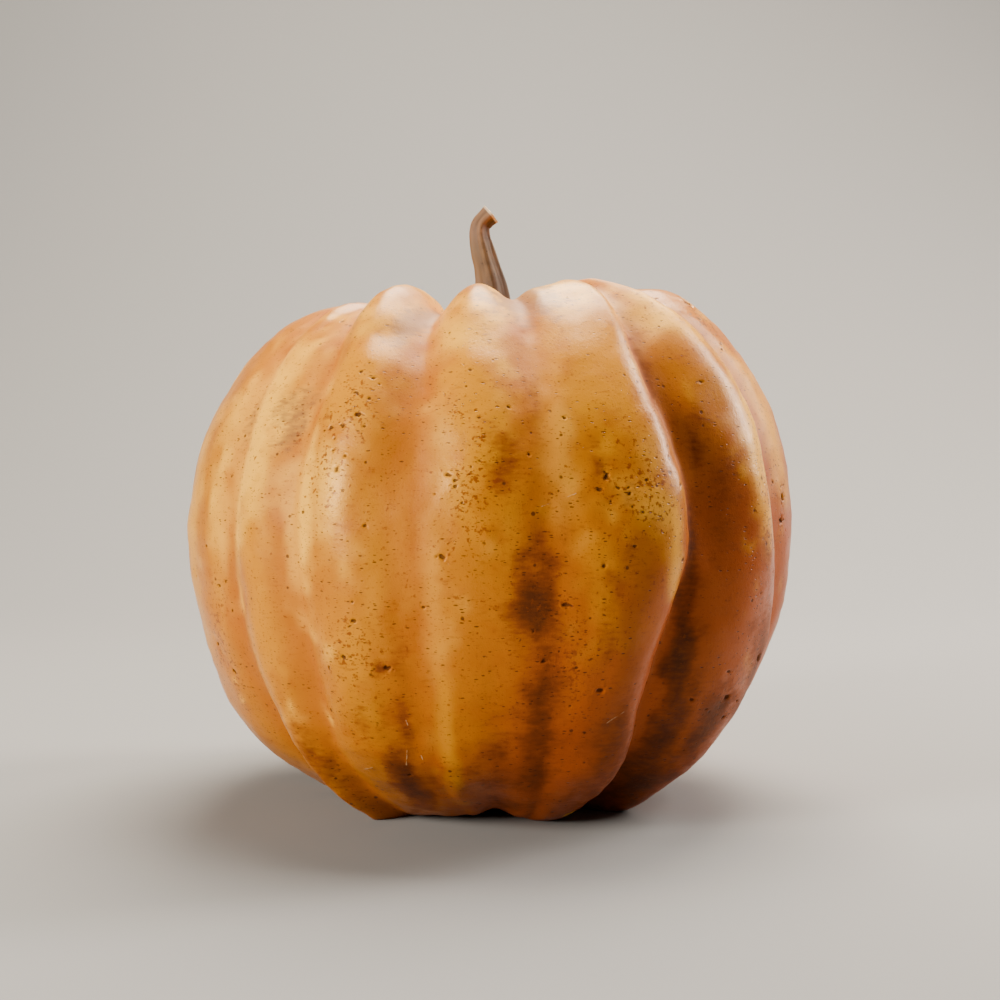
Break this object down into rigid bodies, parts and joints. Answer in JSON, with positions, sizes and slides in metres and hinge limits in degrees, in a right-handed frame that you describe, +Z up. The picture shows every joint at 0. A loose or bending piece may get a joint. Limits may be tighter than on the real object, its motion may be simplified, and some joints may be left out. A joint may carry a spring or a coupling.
{
  "type": "pumpkin",
  "caption": "Ripe ribbed pumpkin with uneven overlapping ribs, a sunken top and a thin dry five-angled stem bent at its cut end.",
  "frame": {"origin": "on the surface that the pumpkin rests on, under the middle of its width and depth", "axes": "+Z up along the fruit's axis, towards the stem; -Y towards the pictured front; +X to the right"},
  "size_m": [0.2404, 0.2462, 0.237],
  "materials": {
    "skin": "satin orange skin, paler on top, browned in the furrows, finely pitted",
    "stem": "dry matte tan stalk with a pale cut end"
  },
  "bodies": {
    "root": {"fruit": "skin", "stem": "stem"}
  },
  "joints": []
}
